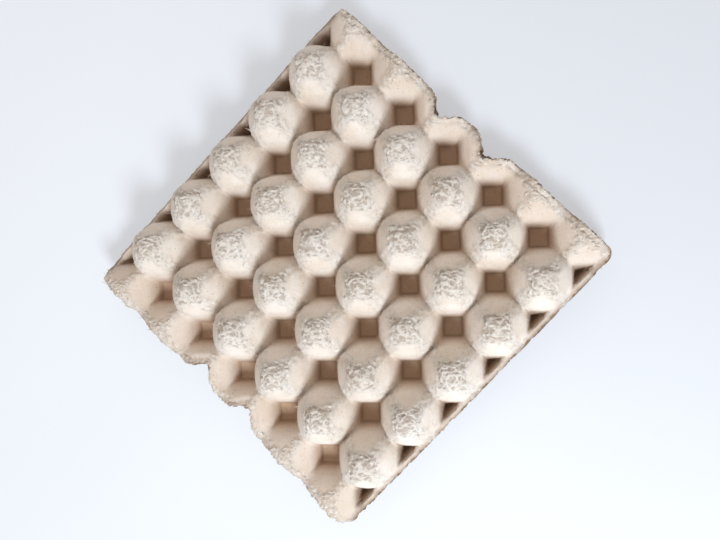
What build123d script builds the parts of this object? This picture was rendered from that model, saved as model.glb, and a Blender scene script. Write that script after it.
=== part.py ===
"""Two moulded pulp egg trays, nested and lying upside down, for thirty eggs each.

All lengths are in millimetres and all angles in degrees. The origin is the middle of the stack on the
table, +Z points up, +X runs along a row of six cups and +Y along a row of five. Seen from above, the
undersides of the cups stand up as domes, and the posts between them are pits that reach the table.
"""

import os
from math import cos, radians, sin, sqrt, tan

from build123d import *

# Lattice of the tray: cups stand up on a square grid, and a post goes down between every four
CUP_PITCH = 48.0
CUPS_ALONG_X = 6
CUPS_ALONG_Y = 5

# The pulp sheet, and how far the faces of two nested trays stay apart
WALL = 1.7
NEST_CLEARANCE = 0.3

# A post is a square pit turned 45 degrees to the grid, with this floor
POST_FLOOR = 14.0

# A cup: facets that go up from the floor of the post, each band leaning in more than the one below
SIDE_RISE = 30.0
SIDE_LEAN = 14.3
SHOULDER_RISE = 12.0
SHOULDER_LEAN = 30.0
CROWN_RISE = 5.6
CROWN_LEAN = 45.0
BROW_RISE = 3.0

# The web lies at the low saddles between neighbouring cups, whose ridges come down to it
WEB_RISE = 21.0
RIDGE_EXTRA_LEAN = 4.0

# The half cups along the two notched ends are only low mounds with a small flat top
MOUND_SIDE_RISE = 18.0
MOUND_SHOULDER_RISE = 8.0
MOUND_SHOULDER_LEAN = 52.0
MOUND_CROWN_RISE = 4.0
MOUND_CROWN_LEAN = 66.0

# The two straight sides end in a lower rim outside the half posts
SIDE_EDGE_OVERHANG = 0.5
SIDE_RIM_WIDTH = 3.5
SIDE_RIM_RISE = 18.3
SIDE_WALL_DRAFT = 13.5
FLANK_LEAN = 13.5

# The two notched ends, and how much is cut off the corners of the outline and of the notches
END_EDGE_OVERHANG = 3.5
NOTCH_DEPTH = 15.0
NOTCH_CUT = 3.0
CORNER_CUT = 3.0

# The lower tray was trimmed a little wider, so its rim shows past the upper one
LOWER_TRAY_EXTRA = 2.0

# Where the driving dimensions lead
DIAGONAL = CUP_PITCH / sqrt(2)
WEB_HEIGHT = WALL + WEB_RISE
SIDE_RIM_HEIGHT = WALL + SIDE_RIM_RISE
TRAY_HEIGHT = WALL + SIDE_RISE + SHOULDER_RISE + CROWN_RISE + BROW_RISE
SIDE_EDGE = CUPS_ALONG_X * CUP_PITCH / 2 + SIDE_EDGE_OVERHANG
END_ROW = (CUPS_ALONG_Y + 1) * CUP_PITCH / 2
END_EDGE = END_ROW + END_EDGE_OVERHANG
BEYOND = CUP_PITCH
LEVEL_LEAN = 90.0
STEEPEST_LEAN = min(SIDE_LEAN, SIDE_WALL_DRAFT, FLANK_LEAN)
NEST_STEP = (WALL + NEST_CLEARANCE) / sin(radians(STEEPEST_LEAN))
CUP_BANDS = [(SIDE_RISE, SIDE_LEAN), (SHOULDER_RISE, SHOULDER_LEAN), (CROWN_RISE, CROWN_LEAN)]
MOUND_BANDS = [
    (MOUND_SIDE_RISE, SIDE_LEAN),
    (MOUND_SHOULDER_RISE, MOUND_SHOULDER_LEAN),
    (MOUND_CROWN_RISE, MOUND_CROWN_LEAN),
]


def slope(lean):
    """How far a face with this lean goes in for each millimetre up."""
    return tan(radians(lean))


def widening(lean, skin):
    """How far a leaning face moves along a level line one skin lower, when the skin comes off it."""
    return skin * (1 / cos(radians(lean)) - slope(lean))


def climb(half, height, bands, extra_lean, top_lean, skin):
    """Corners of a flank that goes up and in from (half, height), each moved into the pulp by the skin."""
    corners = []
    for number, (rise, lean) in enumerate(bands):
        half = half - rise * slope(lean + extra_lean)
        height = height + rise
        next_lean = bands[number + 1][1] if number + 1 < len(bands) else top_lean
        bisector = radians((lean + next_lean) / 2)
        corners.append((half - skin * cos(bisector), height - skin * sin(bisector)))
    return corners


def facet_flank(bands, top_lean, skin):
    """Flank of a cup towards a post: one face with the wall of the post, then the cup's own bands."""
    floor_half = DIAGONAL - POST_FLOOR / 2
    start_half = floor_half + (WALL + BEYOND) * slope(SIDE_LEAN)
    start = (start_half - skin / cos(radians(SIDE_LEAN)), -BEYOND)
    return [start] + climb(floor_half, WALL, bands, 0, top_lean, skin)


def above_web(bands):
    """The bands, or the upper parts of them, that lie above the web."""
    kept = []
    top = 0
    for rise, lean in bands:
        top = top + rise
        if top > WEB_RISE:
            kept.append((min(rise, top - WEB_RISE), lean))
    return kept


def ridge_flank(bands, top_lean, skin):
    """Flank of a cup towards the next cup: a ridge that comes down to the web at the saddle."""
    bands = above_web(bands)
    web = WEB_HEIGHT - skin
    saddle_half = CUP_PITCH / 2 - widening(bands[0][1] + RIDGE_EXTRA_LEAN, skin)
    ledge = [(BEYOND, -BEYOND), (BEYOND, web), (saddle_half, web)]
    return ledge + climb(CUP_PITCH / 2, WEB_HEIGHT, bands, RIDGE_EXTRA_LEAN, top_lean, skin)


def upright_plane(turn):
    """Plane that stands on the table, turned about the vertical axis."""
    along = (cos(radians(turn)), sin(radians(turn)), 0)
    towards = (sin(radians(turn)), -cos(radians(turn)), 0)
    return Plane(origin=(0, 0, 0), x_dir=along, z_dir=towards)


def vault(flank, turn, length):
    """Long vault whose cross-section has the same flank on both sides."""
    mirrored = [(-half, height) for half, height in reversed(flank) if half > 0]
    with BuildPart() as form:
        with BuildSketch(upright_plane(turn)):
            with BuildLine():
                Polyline(flank + mirrored, close=True)
            make_face()
        extrude(amount=length / 2, both=True)
    return form.part


def crossed_vaults(facets, ridges):
    """Four vaults that cross over one square of the grid, cut to that square."""
    with BuildPart() as form:
        Box(CUP_PITCH, CUP_PITCH, 4 * TRAY_HEIGHT)
        for turn in (45, 135):
            add(vault(facets, turn, 2 * CUP_PITCH), mode=Mode.INTERSECT)
        for turn in (0, 90):
            add(vault(ridges, turn, 2 * CUP_PITCH), mode=Mode.INTERSECT)
    return form.part


def cup_form(skin):
    """One cup, closed by a blunt point, and inside by a plainer one."""
    bands = CUP_BANDS[:-1] if skin > 0 else CUP_BANDS
    point = [(0, TRAY_HEIGHT - skin)]
    facets = facet_flank(bands, CROWN_LEAN, skin) + point
    ridges = ridge_flank(bands, CROWN_LEAN, skin) + point
    return crossed_vaults(facets, ridges)


def mound_form(skin):
    """One half cup of a notched end, with a flat top."""
    facets = facet_flank(MOUND_BANDS, LEVEL_LEAN, skin)
    ridges = ridge_flank(MOUND_BANDS, LEVEL_LEAN, skin)
    return crossed_vaults(facets, ridges)


def side_wall(skin):
    """Everything outside the half posts of the side at +X, up to the side's rim."""
    far = SIDE_EDGE + BEYOND
    rim = SIDE_RIM_HEIGHT - skin
    rim_half = SIDE_EDGE - SIDE_RIM_WIDTH + widening(SIDE_WALL_DRAFT, skin)
    foot_half = rim_half - (rim + BEYOND) * slope(SIDE_WALL_DRAFT)
    with BuildPart() as form:
        with BuildSketch(Plane.XZ):
            with BuildLine():
                Polyline([(foot_half, -BEYOND), (rim_half, rim), (far, rim), (far, -BEYOND)], close=True)
            make_face()
        extrude(amount=-END_EDGE - BEYOND)
    return form.part


def side_envelope(skin):
    """Vault over the whole tray that leans the outer cups' flanks in above the side rims."""
    far = SIDE_EDGE + BEYOND
    rim = SIDE_RIM_HEIGHT - skin
    rim_half = SIDE_EDGE - SIDE_RIM_WIDTH - widening(FLANK_LEAN, skin)
    lid = 2 * TRAY_HEIGHT
    lid_half = rim_half - (lid - rim) * slope(FLANK_LEAN)
    return vault([(far, -BEYOND), (far, rim), (rim_half, rim), (lid_half, lid)], 0, 2 * (END_EDGE + BEYOND))


def half_row(count):
    """Places of one half of a centred row, with the middle one where there is one."""
    places = [(number - (count - 1) / 2) * CUP_PITCH for number in range(count)]
    return [place for place in places if place > -CUP_PITCH / 4]


def quarter_form(skin):
    """Solid under a quarter tray's upper face, or, with a skin, under its lower face."""
    with BuildPart() as form:
        with Locations(*[(x, y) for x in half_row(CUPS_ALONG_X) for y in half_row(CUPS_ALONG_Y)]):
            add(cup_form(skin))
        with Locations(*[(x, END_ROW) for x in half_row(CUPS_ALONG_X)]):
            add(mound_form(skin))
        add(side_wall(skin))
        add(side_envelope(skin), mode=Mode.INTERSECT)
    return form.part


def quarter_outline(extra):
    """Plan of a quarter of the trimmed tray, with its finger notch at the mound next to the middle."""
    notch_side = 4 * NOTCH_DEPTH
    notch_x = min(place for place in half_row(CUPS_ALONG_X) if place > 0)
    notch_y = END_EDGE - NOTCH_DEPTH + notch_side / sqrt(2)
    with BuildSketch() as notch:
        with Locations((notch_x, notch_y)):
            Rectangle(notch_side, notch_side, rotation=45)
        chamfer(notch.vertices(), length=NOTCH_CUT)
    with BuildSketch() as outline:
        Rectangle(2 * SIDE_EDGE, 2 * END_EDGE)
        chamfer(outline.vertices(), length=CORNER_CUT)
        add(notch.sketch, mode=Mode.SUBTRACT)
        if extra > 0:
            offset(amount=extra, kind=Kind.INTERSECTION)
        Rectangle(2 * SIDE_EDGE, 2 * END_EDGE, align=(Align.MIN, Align.MIN), mode=Mode.INTERSECT)
    return outline.sketch


def whole_tray(sheet, extra):
    """A quarter of the pulp sheet, trimmed to its outline and mirrored twice."""
    with BuildPart() as tray:
        with BuildSketch():
            add(quarter_outline(extra))
        extrude(amount=2 * TRAY_HEIGHT)
        add(sheet, mode=Mode.INTERSECT)
        mirror(about=Plane.XZ)
        mirror(about=Plane.YZ)
    return tray.part


with BuildPart() as sheet:
    with BuildSketch():
        Rectangle(2 * SIDE_EDGE, 2 * END_EDGE, align=(Align.MIN, Align.MIN))
    extrude(amount=WALL)
    add(quarter_form(0))
    add(quarter_form(WALL), mode=Mode.SUBTRACT)

with BuildPart() as lower_tray:
    add(whole_tray(sheet.part, LOWER_TRAY_EXTRA))
lower_tray.part.label = "lower_tray"

with BuildPart() as upper_tray:
    with Locations((0, 0, NEST_STEP)):
        add(whole_tray(sheet.part, 0))
upper_tray.part.label = "upper_tray"

os.makedirs("parts", exist_ok=True)
export_step(lower_tray.part, "parts/lower_tray.step")
export_step(upper_tray.part, "parts/upper_tray.step")
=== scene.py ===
"""Dressed model of two nested moulded pulp egg trays that lie upside down on a pale table.

Lengths are in millimetres, as in the CAD source, until a mesh is made. Each tray is one closed shell:
an upper face with the crinkles and torn rim of the pulp, a smoother lower face, and a rim that joins them.
A name that ends in BAND holds the two values between which something fades in, and one that ends in WAVE
the height of a noise and the size of its features.
"""

import math

import bpy
import numpy as np
from mathutils import Matrix, Vector, noise


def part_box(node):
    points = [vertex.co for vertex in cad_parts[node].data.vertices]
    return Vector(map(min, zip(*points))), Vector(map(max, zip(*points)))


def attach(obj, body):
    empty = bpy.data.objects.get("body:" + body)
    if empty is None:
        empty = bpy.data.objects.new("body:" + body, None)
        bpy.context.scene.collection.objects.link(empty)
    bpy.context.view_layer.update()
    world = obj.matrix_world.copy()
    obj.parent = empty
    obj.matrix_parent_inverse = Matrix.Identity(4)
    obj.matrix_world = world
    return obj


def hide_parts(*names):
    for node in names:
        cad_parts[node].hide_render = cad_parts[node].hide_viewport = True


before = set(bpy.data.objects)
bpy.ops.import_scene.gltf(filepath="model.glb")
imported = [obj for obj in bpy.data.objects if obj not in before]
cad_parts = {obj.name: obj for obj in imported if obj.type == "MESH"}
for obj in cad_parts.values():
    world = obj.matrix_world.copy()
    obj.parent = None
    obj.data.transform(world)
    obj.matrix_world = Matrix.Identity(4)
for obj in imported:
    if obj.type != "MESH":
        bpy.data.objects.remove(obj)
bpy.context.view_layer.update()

# Without a seed the noise vectors would start from the clock
noise.seed_set(1)

MM = 0.001
ROOT2 = math.sqrt(2)

# Lattice of the tray, in the CAD source's own sizes
PITCH = 48.0
CUP_COLUMNS = 6
CUP_ROWS = 5
WALL = 1.7
CUPS_END = CUP_ROWS / 2 * PITCH
MOUND_ROW = (CUP_ROWS + 1) / 2 * PITCH

# A cup's profile across its facets: distance from the cup's axis, and height above the tray's underside
CUP_PROFILE = [
    (0, 51.9), (3.5, 51.3), (7, 49.3), (12.5, 43.6), (17.3, 36.3),
    (20.2, 30.8), (21.3, 26.6), (24.4, 13.2), (26.9, 1.7), (32, -24),
]
# The low mounds of the notched ends, in the same way
MOUND_PROFILE = [
    (0, 31.7), (3.5, 31.3), (12.1, 27.3), (18, 22.9),
    (22.0, 18.5), (24.4, 11.5), (26.9, 1.7), (32, -20),
]
PROFILE_SAMPLES = 600
# Where a cup's dome meets the steep walls of its pits
CREASE = 20.8
CREASE_HALF_WIDTH = 1.9
# A cup is nearly round above its web, and squarer in the pits between cups
ROUND_SQUARENESS = 2.35
PIT_SQUARENESS = 1.6
PIT_BAND = (22.0, 27.0)
MOUND_SQUARENESS = 8.0
SADDLE_BLEND = 6.0
FLOOR_BLEND = 2.2
NO_CUP_HEIGHT = -50.0

# The two straight sides
SIDE_EDGE = 144.5
SIDE_RIM_INNER = 141.2
SIDE_RIM_HEIGHT = 20.0
SIDE_STEEPNESS = 4.17
SIDE_BLEND = 4.0
SIDE_RIM_DROP = 2.6
SIDE_DROP_BAND = (SIDE_RIM_INNER - 1, SIDE_EDGE + 1)

# The trimmed outline and its finger notches
END_EDGE = 147.5
NOTCH_PLACE = 24.0
NOTCH_BOTTOM = 132.6
NOTCH_ROUND = 3.0
NOTCH_BLEND = 5.0
CORNER_ROUND = 9.0
LOWER_TRAY_EXTRA = 1.6

# The flange outside the mounds hangs down a little
FLANGE_DROP = 2.2
FLANGE_END_BAND = (122, 128)
FLANGE_BAND = (-6.2, -3.8)
FLANGE_ROUGHNESS = 0.5

# The torn outline wanders about the trimmed one, less along the side at -X
TEAR_REACH = 6
TEAR_OFFSET = 0.1
TEAR_SLOW_WAVE = (0.8, 9.0)
TEAR_QUICK_WAVE = (1.5, 3.0)
CALM_SIDE_TEAR = 0.4
CALM_SIDE_BAND = (-SIDE_RIM_INNER, TEAR_REACH - SIDE_RIM_INNER)

# The rim warps up and down, and ends in a frayed lip
RIM_FADE = 3.0
RIM_WAVE = (1.3, 6.0)
UNDER_RIM_LIFT = 0.5
LIP_REACH = 0.25
LIP_WAVE = (0.35, 1.8)
LIP_DROP = 0.65

# The underside keeps the wall's thickness from the upper face: places tried on a ball of that radius
BALL_SHARES = (0.4, 0.75, 0.95, 1.0)
BALL_DIRECTIONS = 12

# The crinkled patch on a cup's top, and the rough ridges from there to the saddles
ZONE_SEED = 21
ZONE_LEVEL = 40
ZONE_WAVE = (2.3, 4.2)
PATCH_END_BAND = (9.8, 12.0)
RIDGE_START_BAND = (9.0, 10.5)
RIDGE_END_BAND = (20.5, 23.0)
RIDGE_HALF_WIDTH = 5.0
MOUND_RIDGE_HALF_WIDTH = 2.8
RIDGE_FADE = 1.2
MOUND_BAND = (118, 122)
MOUND_CREST_BAND = (4.5, 6.5)

# The mesh grid: how far it goes past the outline, in millimetres and then in its own steps
GRID_MARGIN = 3
OUTSIDE_STEPS = 3
# How near to either end an edge is cut at the outline, as a share of its length
NEAREST_CUT = 0.2
# Where the upper face's mesh is made finer, once and then again
RIM_STEPS = 1.5
FINE_ZONE = 0.2
FINER_ZONE = 0.45
FINER_RIDGE_SHARE = 0.3

# Relief of the pulp
RELIEF_BAND = (WALL, 6.0)
RELIEF_OFFSET = -0.1
SWELLING = 0.15
CREST_HEIGHT = 1.35
RIDGE_SHARE = 0.75
PATCH_SPACING = 3.2
RIDGE_SPACING = 2.4
GRAIN_SIZE = 2.5
GRAIN = 0.04
RIDGE_GRAIN = 0.35
PATCH_GRAIN = 0.55
SLOW_WAVE = (0.3, 14.0)

# The crumpled crests: which way they run in the plan, and two generations of them
WRINKLE_RUN = math.radians(43.5)
WRINKLE_STRETCH = 0.42
WRINKLE_WARP = 0.9
FIRST_HALF_WIDTH = 0.32
SECOND_SIZE = 0.55
SECOND_HALF_WIDTH = 0.40
FIRST_SHARE = 0.60
SECOND_SHARE = 0.40
CREST_POWER = 1.2
# How much the crests' strength differs from place to place
STRENGTH_SIZE = 1.1
STRENGTH_MEAN = 0.85
STRENGTH_SWING = 1.1
WEAKEST = 0.25
STRONGEST = 1.2

# Slow bends of the whole stack
PLAN_BEND_WAVE = (0.5, 75.0)
HEIGHT_BEND_WAVE = (0.8, 60.0)
BEND_BAND = (6.0, 26.0)
BEND_SEED = 31

# How far each seed moves the noise, and the noise's own character
NOISE_SHIFT = (17.31, -9.17, 5.73)
WRINKLE_SHIFT = (11.9, 7.3, -13.1)
NOISE_FALLOFF = 0.9
NOISE_LACUNARITY = 2.0

# Loose fibres on the ridges, beside the crease and along the torn outline, with the range of their lengths
RIDGE_FIBRES, RIDGE_FIBRE_LENGTHS = 420, (2.8, 6.0)
FLANK_FIBRES, FLANK_FIBRE_LENGTHS = 620, (1.8, 4.2)
RIM_FIBRES, RIM_FIBRE_LENGTHS = 160, (1.2, 2.6)
RIDGE_FIBRE_ZONE = 0.5
RIDGE_FIBRE_HEIGHTS = (20, 40)
FLANK_FIBRE_HEIGHTS = (22, 34)
FIBRE_RADIUS = 0.24
FIBRE_TAPER = 0.5
FIBRE_ROOT = 0.3
FIBRE_DIP = (-0.25, 0.1)
FIBRE_BOW = (-0.25, 0.25)
FIBRE_LIFT = (0.1, 0.45)
FIBRE_DOWNHILL = 0.9
FIBRE_RINGS = (0.0, 0.35, 0.7)
FIBRE_SIDES = 3

# Painted shade: brown painted into the pits and, weaker, on the low mounds, and darker colour painted into the
# side pockets and on the side rims
PIT_SHADE_HEIGHT_BAND = (2.0, 25.0)
MOUND_PAINTED_SHADE = 0.32
MOUND_PAINTED_SHADE_BAND = (116.0, 122.0)
POCKET_BAND = (124.0, 131.0)
POCKET_TOP_BAND = (14.0, 20.5)
SIDE_RIM_BAND = (SIDE_RIM_INNER - 0.5, SIDE_RIM_INNER + 1.0)
SIDE_RIM_END = END_EDGE - 6
SIDE_RIM_SHADE = 0.4
# Distance from a pit's axis to the border of its floor, and the band over which the painted shade along that
# border fades
FLOOR_BORDER = 7.3
FLOOR_BORDER_BAND = (0.4, 2.0)

# How far the dressed trays stay inside the CAD model's box
BOX_MARGIN = 0.02


def smooth_max(a, b, reach):
    """Larger of two values, with the change from one to the other rounded over the reach."""
    return np.maximum(a, b) + np.clip(reach - np.abs(a - b), 0, None) ** 2 / (4 * reach)


def smooth_min(a, b, reach):
    """Smaller of two values, rounded in the same way."""
    return -smooth_max(-a, -b, reach)


def smooth_step(low, high, value):
    """Rises from 0 at low to 1 at high."""
    t = np.clip((value - low) / (high - low), 0, 1)
    return t * t * (3 - 2 * t)


def between(low, high, value):
    """Whether each value lies between the two."""
    return (value > low) & (value < high)


def level_start_curve(points):
    """Curve through a few points, level at the first and without overshoot, as two arrays for np.interp."""
    xs, ys = np.array(points, float).T
    step = np.diff(xs)
    rise = np.diff(ys) / step
    slope = np.zeros(len(xs))
    before, after = 2 * step[1:] + step[:-1], step[1:] + 2 * step[:-1]
    slope[1:-1] = (before + after) / (before / rise[:-1] + after / rise[1:])
    slope[-1] = rise[-1]
    fine = np.linspace(xs[0], xs[-1], PROFILE_SAMPLES)
    k = np.clip(np.searchsorted(xs, fine, side="right") - 1, 0, len(step) - 1)
    t = (fine - xs[k]) / step[k]
    curve = (
        ys[k] * (1 + 2 * t) * (1 - t) ** 2
        + slope[k] * step[k] * t * (1 - t) ** 2
        + ys[k + 1] * t**2 * (3 - 2 * t)
        + slope[k + 1] * step[k] * t**2 * (t - 1)
    )
    return fine, curve


CUP_CURVE = level_start_curve(CUP_PROFILE)
MOUND_CURVE = level_start_curve(MOUND_PROFILE)


def level_distance(x, y, squareness):
    """Distance from an axis that is the same all along a level line of that squareness."""
    along, across = np.abs(x + y) / ROOT2, np.abs(x - y) / ROOT2
    return (along**squareness + across**squareness) ** (1 / squareness)


def cup_distance(x, y):
    """Such a distance from a cup's axis, which gets squarer in the pits."""
    along, across = np.abs(x + y) / ROOT2, np.abs(x - y) / ROOT2
    squareness = ROUND_SQUARENESS + PIT_SQUARENESS * smooth_step(*PIT_BAND, np.maximum(along, across))
    return level_distance(x, y, squareness)


def cup_height(x, y):
    """Height of a cup at a place given from its own axis."""
    return np.interp(cup_distance(x, y), *CUP_CURVE)


def mound_height(x, y):
    """Height of a mound at a place given from its own axis."""
    return np.interp(level_distance(x, y, MOUND_SQUARENESS), *MOUND_CURVE)


def nearest_cup(x, y):
    """Lattice place of the cup or mound whose square each point lies in."""
    column = np.clip(np.floor(x / PITCH), -CUP_COLUMNS // 2, CUP_COLUMNS // 2 - 1) + 0.5
    row = np.clip(np.round(y / PITCH), -(CUP_ROWS + 1) // 2, (CUP_ROWS + 1) // 2)
    return column * PITCH, row * PITCH


def tray_height(x, y):
    """Upper face of a whole tray, above its own underside."""
    cup_x, cup_y = nearest_cup(x, y)
    towards_x, towards_y = np.where(x < cup_x, -1, 1), np.where(y < cup_y, -1, 1)
    height = np.full(x.shape, NO_CUP_HEIGHT)
    for step_x, step_y in ((0, 0), (1, 0), (0, 1)):
        centre_x = cup_x + step_x * towards_x * PITCH
        centre_y = cup_y + step_y * towards_y * PITCH
        there = (np.abs(centre_x) < CUP_COLUMNS / 2 * PITCH) & (np.abs(centre_y) <= MOUND_ROW)
        cup = cup_height(x - centre_x, y - centre_y)
        mound = mound_height(x - centre_x, y - centre_y)
        form = np.where(there, np.where(np.abs(centre_y) > CUPS_END, mound, cup), NO_CUP_HEIGHT)
        height = smooth_max(height, form, SADDLE_BLEND)
    height = smooth_max(height, WALL, FLOOR_BLEND)
    outwards = (np.abs(x) - SIDE_RIM_INNER) * SIDE_STEEPNESS
    rim_height = SIDE_RIM_HEIGHT - SIDE_RIM_DROP * smooth_step(*SIDE_DROP_BAND, np.abs(x))
    side = smooth_min(SIDE_RIM_HEIGHT + outwards, rim_height, SIDE_BLEND)
    envelope = smooth_max(SIDE_RIM_HEIGHT - outwards, rim_height, SIDE_BLEND)
    return smooth_min(smooth_max(height, side, SIDE_BLEND), envelope, SIDE_BLEND)


def underside_height(x, y):
    """Lower face: the wall's thickness under the upper face, measured square to it."""
    low = tray_height(x, y) - WALL
    for share in BALL_SHARES:
        for angle in np.linspace(0, 2 * math.pi, BALL_DIRECTIONS, endpoint=False):
            reach = share * WALL
            beside = tray_height(x + reach * math.cos(angle), y + reach * math.sin(angle))
            low = np.minimum(low, beside - math.sqrt(WALL**2 - reach**2))
    return low


def normals_of(x, y):
    """Directions square to the smooth upper face."""
    reach = 0.4
    slope_x = (tray_height(x + reach, y) - tray_height(x - reach, y)) / (2 * reach)
    slope_y = (tray_height(x, y + reach) - tray_height(x, y - reach)) / (2 * reach)
    normal = np.stack([-slope_x, -slope_y, np.ones(x.shape)], 1)
    return normal / np.linalg.norm(normal, axis=1, keepdims=True)


def outline_distance(x, y, extra):
    """How far a point lies outside the trimmed outline of a tray, negative inside it."""
    side = np.abs(x) - SIDE_EDGE - extra
    end = np.abs(y) - END_EDGE - extra
    box = smooth_max(side, end, CORNER_ROUND)
    beside_notch = np.sqrt((np.abs(x) - NOTCH_PLACE) ** 2 + NOTCH_ROUND**2) - NOTCH_ROUND / 2
    notch = (np.abs(y) - NOTCH_BOTTOM - extra * ROOT2 - beside_notch) / ROOT2
    return smooth_max(box, notch, NOTCH_BLEND)


def pulp_noise(points, size, seed, octaves=3):
    """Fractal noise with features of that size, one value a point, from about -1 to 1."""
    shift = Vector([seed * step for step in NOISE_SHIFT])
    return np.array(
        [noise.fractal(Vector(p) / size + shift, NOISE_FALLOFF, NOISE_LACUNARITY, octaves) for p in points]
    )


def pulp_wave(points, wave, seed, octaves=3):
    """The same noise, as heights of a wave."""
    height, size = wave
    return height * pulp_noise(points, size, seed, octaves)


def wrinkle_crests(points, spacing, seed):
    """Height of crumpled crests, from 0 between them to 1, as in pulp that wrinkled while it dried."""
    shift = Vector([seed * step for step in WRINKLE_SHIFT])
    run = Vector((math.cos(WRINKLE_RUN), math.sin(WRINKLE_RUN), 0))
    heights = np.zeros(len(points))
    for k, p in enumerate(points):
        p = Vector(p)
        p -= run * (WRINKLE_STRETCH * p.dot(run))
        warped = p + noise.noise_vector(p / (WRINKLE_WARP * spacing) + shift)
        first = max(1 - abs(noise.noise(warped / spacing + shift)) / FIRST_HALF_WIDTH, 0.0)
        second = max(1 - abs(noise.noise(warped / (SECOND_SIZE * spacing) - shift)) / SECOND_HALF_WIDTH, 0.0)
        strength = STRENGTH_MEAN + STRENGTH_SWING * noise.noise(p / (STRENGTH_SIZE * spacing) + 2 * shift)
        strength = min(max(strength, WEAKEST), STRONGEST)
        height = strength * (FIRST_SHARE * first**CREST_POWER + SECOND_SHARE * second**CREST_POWER)
        heights[k] = min(height, 1.0)
    return heights


def surface_zones(x, y):
    """How strongly each point lies on a cup's crinkled top patch, and on its rough ridges."""
    cup_x, cup_y = nearest_cup(x, y)
    ragged = pulp_wave([(a, b, ZONE_LEVEL) for a, b in zip(x, y)], ZONE_WAVE, ZONE_SEED)
    x, y = np.abs(x - cup_x), np.abs(y - cup_y)
    away = (x + y) / ROOT2 + ragged
    patch = 1 - smooth_step(*PATCH_END_BAND, away)
    half_width = np.where(np.abs(cup_y) > CUPS_END, MOUND_RIDGE_HALF_WIDTH, RIDGE_HALF_WIDTH)
    crest = 1 - smooth_step(half_width, half_width + RIDGE_FADE, np.minimum(x, y) + ragged)
    ridge = crest * smooth_step(*RIDGE_START_BAND, away) * (1 - smooth_step(*RIDGE_END_BAND, away))
    return patch, ridge


def near_crease(x, y):
    """Points beside the crease where a cup meets the steep walls of its pits."""
    cup_x, cup_y = nearest_cup(x, y)
    away = cup_distance(x - cup_x, y - cup_y)
    return (np.abs(away - CREASE) < CREASE_HALF_WIDTH) & (np.abs(cup_y) < CUPS_END)


def crest_distance(x, y):
    """Distance in the plan to the nearest ridge line of the lattice."""
    cup_x, cup_y = nearest_cup(x, y)
    return np.minimum(np.abs(x - cup_x), np.abs(y - cup_y))


def bend(points):
    """Points after small slow bends of the whole tray, the same in both, so that they stay nested."""
    flat = [(x, y, 0) for x, y, _ in points]
    bent = points.copy()
    bent[:, 0] += pulp_wave(flat, PLAN_BEND_WAVE, BEND_SEED, 2)
    bent[:, 1] += pulp_wave(flat, PLAN_BEND_WAVE, BEND_SEED + 1, 2)
    amount, size = HEIGHT_BEND_WAVE
    high = smooth_step(*BEND_BAND, points[:, 2])
    bent[:, 2] += amount * high * pulp_noise(flat, size, BEND_SEED + 2, 2)
    return bent


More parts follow.
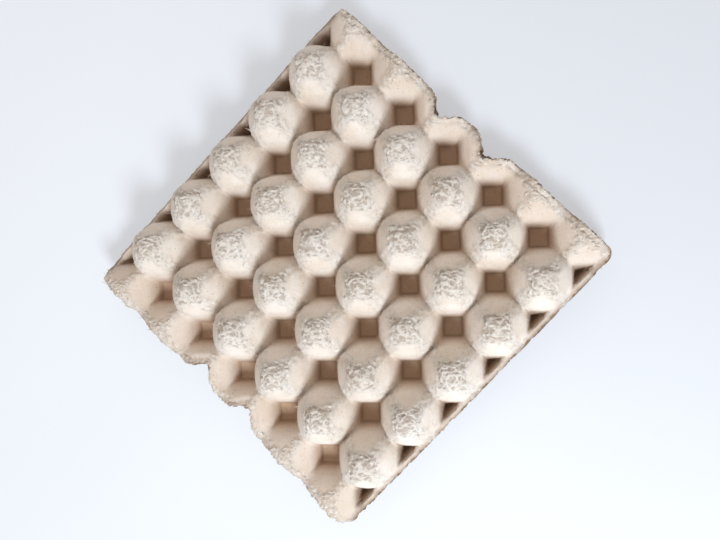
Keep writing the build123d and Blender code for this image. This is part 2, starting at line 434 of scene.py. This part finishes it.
class Skin:
    """One face of a tray: a triangle mesh over the plan, cut along the outline."""

    def __init__(self, per_pitch, extra, seed, refined):
        step = PITCH / per_pitch
        reach_x = int(math.ceil((SIDE_EDGE + extra + GRID_MARGIN) / step))
        reach_y = int(math.ceil((END_EDGE + extra + GRID_MARGIN) / step))
        xs, ys = np.arange(-reach_x, reach_x + 1) * step, np.arange(-reach_y, reach_y + 1) * step
        grid_x, grid_y = np.meshgrid(xs, ys, indexing="ij")
        self.points = np.stack([grid_x.ravel(), grid_y.ravel()], 1)
        self.extra, self.seed = extra, seed
        self.triangles = self.grid_triangles(grid_x, grid_y)
        trimmed = outline_distance(*self.points.T, extra)
        self.keep((trimmed[self.triangles] < OUTSIDE_STEPS * step).any(1))
        if refined:
            beside_outline = np.abs(outline_distance(*self.points.T, extra)) < RIM_STEPS * step
            patch, ridge = surface_zones(*self.points.T)
            self.refine(beside_outline | (patch + ridge > FINE_ZONE) | near_crease(*self.points.T))
            patch, ridge = surface_zones(*self.points.T)
            self.refine(patch + FINER_RIDGE_SHARE * ridge > FINER_ZONE)
        self.trim()

    def torn_distance(self):
        """Distance to the torn outline, which wanders about the trimmed one."""
        distance = outline_distance(*self.points.T, self.extra)
        near = np.abs(distance) < TEAR_REACH
        flat = [(x, y, 0) for x, y in self.points[near]]
        wander = pulp_wave(flat, TEAR_SLOW_WAVE, self.seed) + pulp_wave(flat, TEAR_QUICK_WAVE, self.seed + 1)
        lively = smooth_step(*CALM_SIDE_BAND, self.points[near, 0])
        distance[near] += TEAR_OFFSET + wander * (CALM_SIDE_TEAR + (1 - CALM_SIDE_TEAR) * lively)
        return distance

    def grid_triangles(self, grid_x, grid_y):
        """Two triangles for each square, split along the diagonal that follows the level."""
        height = tray_height(grid_x, grid_y)
        rows, columns = height.shape
        index = np.arange(rows * columns).reshape(rows, columns)
        a, b, c, d = index[:-1, :-1], index[1:, :-1], index[1:, 1:], index[:-1, 1:]
        flat = np.abs(height[:-1, :-1] - height[1:, 1:]) < np.abs(height[1:, :-1] - height[:-1, 1:])
        first = np.where(flat[..., None], np.stack([a, b, c], -1), np.stack([a, b, d], -1))
        second = np.where(flat[..., None], np.stack([a, c, d], -1), np.stack([b, c, d], -1))
        return np.concatenate([first.reshape(-1, 3), second.reshape(-1, 3)])

    def keep(self, chosen):
        """Keeps the chosen triangles and the points that they use."""
        self.triangles = self.triangles[chosen]
        used, self.triangles = np.unique(self.triangles, return_inverse=True)
        self.triangles = self.triangles.reshape(-1, 3)
        self.points = self.points[used]

    def split(self, marked, share):
        """Splits the marked edges at the given shares, and their triangles with them."""
        edges = np.sort(self.triangles[:, [0, 1, 1, 2, 2, 0]].reshape(-1, 2), 1)
        edges, where = np.unique(edges, axis=0, return_inverse=True)
        where = where.reshape(-1, 3)
        marked, share = marked(edges), share(edges)
        middle = np.full(len(edges), -1)
        middle[marked] = len(self.points) + np.arange(marked.sum())
        start, end = self.points[edges[marked, 0]], self.points[edges[marked, 1]]
        self.points = np.concatenate([self.points, start + (end - start) * share[marked, None]])
        middle = middle[where]
        has = middle >= 0
        count = has.sum(1)
        turn = np.where(count == 1, has.argmax(1), np.where(count == 2, has.argmin(1) + 1, 0))
        order = (turn[:, None] + np.arange(3)) % 3
        a, b, c = np.take_along_axis(self.triangles, order, 1).T
        ab, bc, ca = np.take_along_axis(middle, order, 1).T
        # The triangles that replace one, by how many of its edges are split
        patterns = (
            [(a, b, c)],
            [(a, ab, c), (ab, b, c)],
            [(a, ab, c), (ab, bc, c), (ab, b, bc)],
            [(a, ab, ca), (ab, b, bc), (ca, bc, c), (ab, bc, ca)],
        )
        self.triangles = np.concatenate(
            [np.stack(corners, 1)[count == number] for number, parts in enumerate(patterns) for corners in parts]
        )

    def refine(self, chosen):
        """Halves the edges between chosen points."""
        self.split(lambda edges: chosen[edges].all(1), lambda edges: np.full(len(edges), 0.5))

    def trim(self):
        """Cuts the mesh along the torn outline, and puts the boundary's points in order."""
        distance = self.torn_distance()

        def crossing(edges):
            return (distance[edges] < 0).sum(1) == 1

        def share(edges):
            start, end = distance[edges].T
            return np.clip(start / np.where(crossing(edges), start - end, 1), NEAREST_CUT, 1 - NEAREST_CUT)

        old = len(self.points)
        self.split(crossing, share)
        distance = np.concatenate([distance, np.zeros(len(self.points) - old)])
        self.keep((distance[self.triangles] <= 0).all(1) & (distance[self.triangles] < 0).any(1))
        self.loop = self.longest_loop()

    def longest_loop(self):
        """Points of the outer boundary in order, anticlockwise seen from above."""
        directed = self.triangles[:, [0, 1, 1, 2, 2, 0]].reshape(-1, 2)
        both = set(map(tuple, directed))
        follow = {a: b for a, b in both if (b, a) not in both}
        loops = []
        while follow:
            start, at = follow.popitem()
            loop = [start]
            while at != start and at in follow:
                loop.append(at)
                at = follow.pop(at)
            loops.append(loop)
        return np.array(max(loops, key=len))

    def rim(self):
        """How near each point is to the torn outline, 1 on it."""
        return np.exp(self.torn_distance() / RIM_FADE)

    def flange(self):
        """How far each point lies on the flange outside the mounds."""
        end = smooth_step(*FLANGE_END_BAND, np.abs(self.points[:, 1]))
        return end * smooth_step(*FLANGE_BAND, self.torn_distance())


def upper_face(skin, texture, seed):
    """Placed points of the upper face, their places before the relief, and their zones."""
    x, y = skin.points.T
    top = np.stack([x, y, tray_height(x, y)], 1)
    patch, ridge = surface_zones(x, y)
    mound = smooth_step(*MOUND_BAND, np.abs(y))
    on_crest = 1 - smooth_step(*MOUND_CREST_BAND, crest_distance(x, y))
    rough = np.clip(np.maximum(ridge, mound * patch * on_crest), 0, 1)
    patch *= 1 - mound
    coarse, fine = np.zeros(len(top)), np.zeros(len(top))
    coarse[patch > 0] = wrinkle_crests(top[patch > 0], PATCH_SPACING, seed + 2)
    fine[rough > 0] = wrinkle_crests(top[rough > 0], RIDGE_SPACING, seed + 3)
    rim, flange = skin.rim(), skin.flange()
    rough = np.maximum(rough, FLANGE_ROUGHNESS * flange)
    crests = np.maximum(patch * coarse, RIDGE_SHARE * rough * fine)
    hollow = np.maximum(patch * (1 - coarse), RIDGE_SHARE * rough * (1 - fine))
    relief = (
        SWELLING * np.maximum(patch, rough)
        + CREST_HEIGHT * crests
        + (GRAIN + RIDGE_GRAIN * rough + PATCH_GRAIN * patch) * pulp_noise(top, GRAIN_SIZE, seed + 4)
        + pulp_wave(top, SLOW_WAVE, seed + 5, 2)
        + RELIEF_OFFSET
    )
    relief *= texture * smooth_step(*RELIEF_BAND, top[:, 2])
    placed = top + normals_of(x, y) * relief[:, None]
    rim_height, rim_size = RIM_WAVE
    placed[:, 2] += rim * rim_height * pulp_noise(top, rim_size, seed + 6) - FLANGE_DROP * flange
    return bend(placed), top, {"patch": patch, "rough": rough, "rim": rim, "hollow": hollow}, ridge


def lower_face(skin, seed):
    """Placed points of the lower face, and how near each is to the rim."""
    x, y = skin.points.T
    base = np.stack([x, y, underside_height(x, y)], 1)
    rim, flange = skin.rim(), skin.flange()
    base[:, 2] += rim * (pulp_wave(base, RIM_WAVE, seed + 6) + UNDER_RIM_LIFT) - FLANGE_DROP * flange
    return bend(base), rim


def frayed_lip(edge, seed):
    """Closed line just outside and below the upper face's edge."""
    step_out = np.roll(edge, -2, axis=0) - np.roll(edge, 2, axis=0)
    outward = np.stack([step_out[:, 1], -step_out[:, 0], np.zeros(len(edge))], 1)
    outward /= np.linalg.norm(outward, axis=1, keepdims=True)
    fray = LIP_REACH + pulp_wave(edge, LIP_WAVE, seed + 7, 2)
    lip = edge + outward * fray[:, None]
    lip[:, 2] -= LIP_DROP
    return lip


def ribbon(first_index, second_index):
    """Triangles between two closed lines with as many points each."""
    strip = []
    for here in range(len(first_index)):
        after = (here + 1) % len(first_index)
        strip += [
            (first_index[here], second_index[here], first_index[after]),
            (second_index[here], second_index[after], first_index[after]),
        ]
    return strip


def bridge(upper, lower, upper_index, lower_index):
    """Triangles between two closed lines of points that run side by side."""
    start = int(np.argmin(np.linalg.norm(lower - upper[0], axis=1)))
    lower, lower_index = np.roll(lower, -start, axis=0), np.roll(lower_index, -start)
    many, few = len(upper), len(lower)
    i = j = 0
    strip = []
    while i < many or j < few:
        next_upper = np.linalg.norm(upper[(i + 1) % many] - lower[j % few]) if i < many else np.inf
        next_lower = np.linalg.norm(lower[(j + 1) % few] - upper[i % many]) if j < few else np.inf
        if next_upper <= next_lower:
            strip.append((upper_index[i % many], lower_index[j % few], upper_index[(i + 1) % many]))
            i += 1
        else:
            strip.append((upper_index[i % many], lower_index[j % few], lower_index[(j + 1) % few]))
            j += 1
    return strip


def fibre_roots(skin, top, ridge, rng):
    """Points of the upper face that loose fibres start from, and the fibres' lengths."""
    height = top[:, 2]
    sloping = np.flatnonzero((ridge > RIDGE_FIBRE_ZONE) & between(*RIDGE_FIBRE_HEIGHTS, height))
    flanks = np.flatnonzero(near_crease(*skin.points.T) & between(*FLANK_FIBRE_HEIGHTS, height))
    kinds = (
        (sloping, RIDGE_FIBRES, RIDGE_FIBRE_LENGTHS),
        (flanks, FLANK_FIBRES, FLANK_FIBRE_LENGTHS),
        (skin.loop, RIM_FIBRES, RIM_FIBRE_LENGTHS),
    )
    chosen = np.concatenate([rng.choice(places, number, False) for places, number, _ in kinds])
    lengths = np.concatenate([rng.uniform(*limits, number) for _, number, limits in kinds])
    return chosen, lengths


def fibres(roots, normals, lengths, seed):
    """Short loose pulp fibres that start in the surface: their points, and their triangles."""
    rng = np.random.default_rng(seed)
    points, triangles = [], []
    for root, normal, length in zip(roots, normals, lengths):
        turn = rng.uniform(0, 2 * math.pi)
        along = np.array([math.cos(turn), math.sin(turn), rng.uniform(*FIBRE_DIP)])
        along += FIBRE_DOWNHILL * np.array([normal[0], normal[1], 0.0])
        along /= np.linalg.norm(along)
        bow = np.cross(normal, along) * rng.uniform(*FIBRE_BOW) * length
        lift = rng.uniform(*FIBRE_LIFT) * length
        start = len(points)
        for t in FIBRE_RINGS:
            centre = root + along * length * t + bow * t * t + normal * (lift * t - FIBRE_ROOT * (1 - t))
            for corner in range(FIBRE_SIDES):
                angle = 2 * math.pi * corner / FIBRE_SIDES
                off = normal * math.cos(angle) + np.cross(along, normal) * math.sin(angle)
                points.append(centre + off * FIBRE_RADIUS * (1 - FIBRE_TAPER * t))
        tip = len(points)
        points.append(root + along * length + bow + normal * lift)
        for ring in range(start, tip - FIBRE_SIDES, FIBRE_SIDES):
            for corner in range(FIBRE_SIDES):
                a, b = ring + corner, ring + (corner + 1) % FIBRE_SIDES
                triangles += [(a, a + FIBRE_SIDES, b), (b, a + FIBRE_SIDES, b + FIBRE_SIDES)]
        last = tip - FIBRE_SIDES
        triangles += [(last + k, tip, last + (k + 1) % FIBRE_SIDES) for k in range(FIBRE_SIDES)]
        triangles.append(tuple(range(start, start + FIBRE_SIDES)))
    return np.array(points), np.array(triangles)


def painted_shade_zones(x, y, height):
    """How strongly each point gets painted shade: brown in the pits and on the low mounds, and darker colour in
    the side pockets and on the side rims.
    """
    pit_painted_shade = 1 - smooth_step(*PIT_SHADE_HEIGHT_BAND, height)
    pit_painted_shade = np.maximum(pit_painted_shade, MOUND_PAINTED_SHADE * smooth_step(*MOUND_PAINTED_SHADE_BAND, np.abs(y)))
    # Painted shade in the side pockets up to the rims, and weaker on the side rims
    pocket = smooth_step(*POCKET_BAND, np.abs(x)) * (1 - smooth_step(*POCKET_TOP_BAND, height))
    side_rim = smooth_step(*SIDE_RIM_BAND, np.abs(x)) * (np.abs(y) < SIDE_RIM_END)
    return {"pit_painted_shade": pit_painted_shade, "shade": np.maximum(pocket, SIDE_RIM_SHADE * side_rim)}


def make_tray(name, lift, extra, per_pitch, under_per_pitch, texture, fibrous, seed):
    """One tray as a closed shell of pulp, with its underside at the given lift above the table."""
    upper = Skin(per_pitch, extra, seed, True)
    lower = Skin(under_per_pitch, extra, seed, False)
    placed, top, zones, ridge = upper_face(upper, texture, seed)
    base, under_rim = lower_face(lower, seed)
    lip = frayed_lip(placed[upper.loop], seed)
    zones["rim"] = np.concatenate([np.clip(zones["rim"], 0, 1), np.clip(under_rim, 0, 1), np.ones(len(lip))])

    points = np.concatenate([placed, base, lip])
    lower_index = len(placed) + lower.loop
    lip_index = len(placed) + len(base) + np.arange(len(lip))
    strip = ribbon(upper.loop, lip_index) + bridge(lip, base[lower.loop], lip_index, lower_index)
    triangles = np.concatenate([upper.triangles, lower.triangles[:, ::-1] + len(placed), np.array(strip)])
    if fibrous:
        chosen, lengths = fibre_roots(upper, top, ridge, np.random.default_rng(seed))
        normals = normals_of(*upper.points[chosen].T)
        loose, faces = fibres(placed[chosen], normals, lengths, seed)
        triangles = np.concatenate([triangles, faces + len(points)])
        points = np.concatenate([points, loose])

    points[:, 2] += lift
    low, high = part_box("lower_tray")
    low, high = np.array(low) / MM + BOX_MARGIN, np.array(high) / MM - BOX_MARGIN
    high[2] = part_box("upper_tray")[1].z / MM - BOX_MARGIN
    low[2] = lift
    points = np.clip(points, low, high)
    x, y, z = points.T
    zones.update(painted_shade_zones(x, y, z - lift))

    mesh = bpy.data.meshes.new(name)
    mesh.from_pydata((points * MM).tolist(), [], triangles.tolist())
    mesh.polygons.foreach_set("use_smooth", np.ones(len(triangles), bool))
    for label, values in zones.items():
        full = np.zeros(len(points), np.float32)
        full[: len(values)] = values
        mesh.attributes.new(label, "FLOAT", "POINT").data.foreach_set("value", full)
    mesh.update()
    tray = bpy.data.objects.new(name, mesh)
    bpy.context.scene.collection.objects.link(tray)
    return tray


class Nodes:
    """Short way to build a node material. Sizes are in millimetres."""

    def __init__(self, name):
        self.material = bpy.data.materials.new(name)
        self.material.use_nodes = True
        self.tree = self.material.node_tree
        self.tree.nodes.clear()
        self.output = self.tree.nodes.new("ShaderNodeOutputMaterial")
        self.shader = self.tree.nodes.new("ShaderNodeBsdfPrincipled")
        self.link(self.shader.outputs["BSDF"], self.output.inputs["Surface"])

    def link(self, source, target):
        self.tree.links.new(source, target)

    def put(self, socket, value):
        if isinstance(value, bpy.types.NodeSocket):
            self.link(value, socket)
        else:
            socket.default_value = value

    def place(self):
        return self.tree.nodes.new("ShaderNodeTexCoord").outputs["Object"]

    def axes(self, place):
        node = self.tree.nodes.new("ShaderNodeSeparateXYZ")
        self.link(place, node.inputs["Vector"])
        return node.outputs["X"], node.outputs["Y"]

    def attribute(self, name):
        node = self.tree.nodes.new("ShaderNodeAttribute")
        node.attribute_name = name
        return node.outputs["Fac"]

    def stretched(self, place, scale, turn=(0, 0, 0)):
        node = self.tree.nodes.new("ShaderNodeMapping")
        self.link(place, node.inputs["Vector"])
        node.inputs["Scale"].default_value = scale
        node.inputs["Rotation"].default_value = turn
        return node.outputs["Vector"]

    def noise(self, place, size, detail=3.0, roughness=0.55, distortion=0.0):
        node = self.tree.nodes.new("ShaderNodeTexNoise")
        self.link(place, node.inputs["Vector"])
        node.inputs["Scale"].default_value = 1 / (size * MM)
        node.inputs["Detail"].default_value = detail
        node.inputs["Roughness"].default_value = roughness
        node.inputs["Distortion"].default_value = distortion
        return node.outputs["Fac"]

    def cells(self, place, size):
        node = self.tree.nodes.new("ShaderNodeTexVoronoi")
        self.link(place, node.inputs["Vector"])
        node.inputs["Scale"].default_value = 1 / (size * MM)
        return node.outputs["Distance"]

    def math(self, operation, a, b=0.0):
        node = self.tree.nodes.new("ShaderNodeMath")
        node.operation = operation
        self.put(node.inputs[0], a)
        self.put(node.inputs[1], b)
        return node.outputs["Value"]

    def ramp(self, value, low, high, low_out=0.0, high_out=1.0):
        node = self.tree.nodes.new("ShaderNodeMapRange")
        node.interpolation_type = "SMOOTHSTEP"
        self.link(value, node.inputs["Value"])
        for socket, number in (("From Min", low), ("From Max", high), ("To Min", low_out), ("To Max", high_out)):
            node.inputs[socket].default_value = number
        return node.outputs["Result"]

    def mix(self, share, first, second):
        node = self.tree.nodes.new("ShaderNodeMix")
        node.data_type = "RGBA"
        self.put(node.inputs["Factor"], share)
        self.put(node.inputs["A"], first)
        self.put(node.inputs["B"], second)
        return node.outputs["Result"]

    def tint(self, base, zone, strength, shade):
        """The base colour with the shade over it, as strong as the zone times the strength."""
        return self.mix(self.math("MULTIPLY", zone, strength), base, shade)

    def bump(self, height, zone, offset, distance, before=None):
        """Bumps of that height, as strong as the zone plus the offset."""
        node = self.tree.nodes.new("ShaderNodeBump")
        node.inputs["Distance"].default_value = distance * MM
        self.link(self.math("MULTIPLY", height, self.math("ADD", zone, offset)), node.inputs["Height"])
        if before is not None:
            self.link(before, node.inputs["Normal"])
        return node.outputs["Normal"]

    def painted_floor_crease_shade(self, place):
        """Narrow band round the square floor of each pit, from its place on the lattice, where shade is painted
        into the crease between floor and walls.
        """
        half_pitch = PITCH * MM / 2
        x, y = self.axes(place)
        sides = []
        for operation in ("ADD", "SUBTRACT"):
            slanted = self.math("ADD", self.math(operation, x, y), half_pitch)
            sides.append(self.math("PINGPONG", slanted, half_pitch))
        beyond = self.math("SUBTRACT", self.math("MAXIMUM", *sides), FLOOR_BORDER * ROOT2 * MM)
        start, end = FLOOR_BORDER_BAND
        return self.ramp(self.math("ABSOLUTE", beyond), start * MM, end * MM, 1.0, 0.0)


def colour(red, green, blue):
    """Scene colour from 0 to 255 values as they look on screen."""
    return tuple(((c / 255 + 0.055) / 1.055) ** 2.4 for c in (red, green, blue)) + (1.0,)


# The pale and the warm tone of the pulp's blotches, then the brown tone of the painted shade in the pits, and the
# dark tone used for fibres, flecks and painted shade. The lower tray's tones are all darker: painted shade under
# the upper tray
UPPER_TONES = colour(242, 232, 223), colour(233, 219, 205), colour(180, 143, 110), colour(124, 93, 67)
SHADED_LOWER_TONES = colour(200, 176, 150), colour(182, 156, 130), colour(170, 140, 112), colour(92, 68, 48)
# Painted highlight on the wrinkle crests
PAINTED_CREST_HIGHLIGHT = colour(255, 250, 243)
STREAK_TURN = math.radians(46.5)


def pulp_material(name, pale, warm, pit_shade_tone, dark):
    """Dry moulded pulp: pale and matt, blotched and flecked, crinkled where the zones say so, with painted shade
    in the pits, side pockets, side rims, wrinkle valleys and speckles, partly painted shade towards the torn rim,
    and a painted highlight on the crests.
    """
    n = Nodes(name)
    place = n.place()
    zones = ("patch", "rough", "rim", "hollow", "pit_painted_shade", "shade")
    patch, rough, rim, hollow, pit_painted_shade, shade = (n.attribute(zone) for zone in zones)
    crinkled = n.math("MINIMUM", n.math("ADD", patch, n.math("MULTIPLY", rough, RIDGE_SHARE)), 1.0)
    crest = n.ramp(n.math("SUBTRACT", crinkled, hollow), 0.10, 0.45)
    blotch = n.ramp(n.noise(place, size=22.0, detail=4.0, roughness=0.6), 0.32, 0.68)
    across_fibres = n.stretched(place, scale=(1, 1, 0.35), turn=(0.4, 0.9, 0.3))
    fibre = n.ramp(n.noise(across_fibres, size=1.5, detail=2.0, roughness=0.6, distortion=1.5), 0.52, 0.74)
    speckle = n.ramp(n.noise(place, size=1.0, detail=3.0, roughness=0.7, distortion=0.6), 0.60, 0.70)
    flecks = n.ramp(n.cells(place, size=5.5), 0.12, 0.06)

    base = n.mix(blotch, pale, warm)
    # Painted shade: brown in the pits, strongest at their floors, and weaker on the low mounds
    base = n.tint(base, pit_painted_shade, 0.75, pit_shade_tone)
    # Painted shade in the side pockets and on the side rims
    base = n.tint(base, shade, 0.60, dark)
    base = n.tint(base, fibre, 0.20, dark)
    # Painted shadow: dark speckles stand for the shadows of fuzz and small pits, strongest on the crinkled zones
    base = n.tint(base, speckle, n.math("ADD", n.math("MULTIPLY", crinkled, 0.20), 0.08), dark)
    base = n.tint(base, flecks, 0.50, dark)
    # Darker towards the torn rim: partly the torn edge's own darker fringe, partly painted shade on the rim strip
    base = n.tint(base, n.ramp(rim, 0.45, 1.0), 0.30, dark)
    # Painted shade in the valleys between the wrinkle crests, over the relief's own shading
    base = n.tint(base, n.ramp(hollow, 0.60, 1.0), 0.38, dark)
    # Painted highlight: the wrinkle crests lighter than the rest of the pulp
    base = n.tint(base, crest, 0.40, PAINTED_CREST_HIGHLIGHT)
    # Painted shade in the crease round each pit's floor
    base = n.tint(base, n.math("MULTIPLY", n.painted_floor_crease_shade(place), pit_painted_shade), 0.40, dark)
    n.link(base, n.shader.inputs["Base Color"])
    n.link(n.ramp(n.noise(place, size=2.5, detail=2.0), 0.3, 0.7, 0.86, 0.98), n.shader.inputs["Roughness"])
    n.shader.inputs["Specular IOR Level"].default_value = 0.18
    n.shader.inputs["Sheen Weight"].default_value = 0.10
    n.shader.inputs["Sheen Roughness"].default_value = 0.6

    crumple = n.noise(place, size=1.7, detail=3.0, roughness=0.62, distortion=1.1)
    crumple = n.math("ABSOLUTE", n.math("SUBTRACT", crumple, 0.5))
    along_run = n.stretched(place, scale=(1.0, 0.22, 0.6), turn=(0, 0, STREAK_TURN))
    streak = n.noise(along_run, size=0.9, detail=3.0, roughness=0.65, distortion=0.5)
    normal = n.bump(crumple, crinkled, 0.22, distance=1.3)
    normal = n.bump(speckle, crinkled, 0.08, distance=-0.15, before=normal)
    normal = n.bump(streak, n.math("MULTIPLY", crinkled, 0.5), 0.6, distance=0.36, before=normal)
    n.link(normal, n.shader.inputs["Normal"])
    return n.material


def table_material():
    """Pale, faintly cool table top, with painted shade that makes it darker towards +Y, away from the window."""
    n = Nodes("pale_table")
    place = n.place()
    cloud = n.ramp(n.noise(place, size=240.0, detail=2.0), 0.3, 0.7)
    base = n.mix(cloud, colour(184, 187, 193), colour(187, 190, 196))
    # Painted shade: the window light's falloff, darker towards +Y
    far = n.ramp(n.axes(place)[1], -0.15, 0.40)
    n.link(n.mix(far, base, colour(158, 160, 167)), n.shader.inputs["Base Color"])
    n.shader.inputs["Roughness"].default_value = 0.75
    n.shader.inputs["Specular IOR Level"].default_value = 0.2
    # Painted light: the table glows a little, which lifts the shade and shadows on it
    n.shader.inputs["Emission Color"].default_value = colour(242, 246, 253)
    n.shader.inputs["Emission Strength"].default_value = 0.45
    return n.material


# The two trays
upper_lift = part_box("upper_tray")[0].z / MM
upper_tray = make_tray(
    "upper_tray_pulp", upper_lift, extra=0.0, per_pitch=20, under_per_pitch=12, texture=1.0, fibrous=True, seed=1
)
lower_tray = make_tray(
    "lower_tray_pulp", 0.0, LOWER_TRAY_EXTRA, per_pitch=16, under_per_pitch=18, texture=0.2, fibrous=False, seed=8
)
upper_pulp = pulp_material("upper_pulp", *UPPER_TONES)
# The lower tray gets a darker copy of the same pulp: painted shade under the upper tray
lower_pulp = pulp_material("lower_pulp", *SHADED_LOWER_TONES)
for tray, material, node in (
    (upper_tray, upper_pulp, "upper_tray"),
    (lower_tray, lower_pulp, "lower_tray"),
):
    tray.data.materials.append(material)
    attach(tray, "root")
    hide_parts(node)

# The table
TABLE_HALF = 3.0
table_mesh = bpy.data.meshes.new("table")
corners = [(x * TABLE_HALF, y * TABLE_HALF, 0) for x, y in ((-1, -1), (1, -1), (1, 1), (-1, 1))]
table_mesh.from_pydata(corners, [], [(0, 1, 2, 3)])
table = bpy.data.objects.new("table", table_mesh)
table_mesh.materials.append(table_material())
bpy.context.scene.collection.objects.link(table)

# The camera stands almost over the stack, turned so that the lattice runs along the picture's diagonals
CAMERA_PLACE = Vector((0.0970, 0.0730, 0.6138))
CAMERA_TARGET = Vector((0.0148, 0.0081, 0.0400))
PICTURE_UP = math.radians(133.5)
FOCAL_PIXELS = 755.0
PICTURE_WIDTH = 720.0

camera_data = bpy.data.cameras.new("camera")
camera = bpy.data.objects.new("camera", camera_data)
bpy.context.scene.collection.objects.link(camera)
camera_data.lens = camera_data.sensor_width * FOCAL_PIXELS / PICTURE_WIDTH
camera_data.clip_start, camera_data.clip_end = 0.01, 20.0
backward = (CAMERA_PLACE - CAMERA_TARGET).normalized()
rightward = Vector((math.cos(PICTURE_UP), math.sin(PICTURE_UP), 0)).cross(backward).normalized()
upward = backward.cross(rightward)
camera.matrix_world = (
    Matrix.Translation(CAMERA_PLACE) @ Matrix((rightward, upward, backward)).transposed().to_4x4()
)
bpy.context.scene.camera = camera


def soft_light(name, towards, height, distance, size, power, tint):
    """Square soft light that looks at the stack, so many degrees round from the picture's top and up."""
    data = bpy.data.lights.new(name, "AREA")
    data.shape = "SQUARE"
    data.size = size
    data.energy = power
    data.color = tint
    light = bpy.data.objects.new(name, data)
    around, up = PICTURE_UP + math.radians(towards), math.radians(height)
    light.location = distance * Vector(
        (math.cos(around) * math.cos(up), math.sin(around) * math.cos(up), math.sin(up))
    )
    light.rotation_mode = "QUATERNION"
    light.rotation_quaternion = (-light.location).to_track_quat("-Z", "Y")
    bpy.context.scene.collection.objects.link(light)


soft_light("window", towards=206, height=45, distance=1.6, size=0.42, power=22, tint=(0.85, 0.935, 1.0))
soft_light("wall", towards=20, height=35, distance=1.0, size=0.7, power=0.9, tint=(1.0, 0.95, 0.9))

ROOM_TINT = (1.0, 0.935, 0.87, 1.0)
ROOM_STRENGTH = 0.48
world = bpy.data.worlds.new("room")
world.use_nodes = True
world.node_tree.nodes["Background"].inputs["Color"].default_value = ROOM_TINT
world.node_tree.nodes["Background"].inputs["Strength"].default_value = ROOM_STRENGTH
bpy.context.scene.world = world
bpy.context.scene.view_settings.view_transform = "Standard"
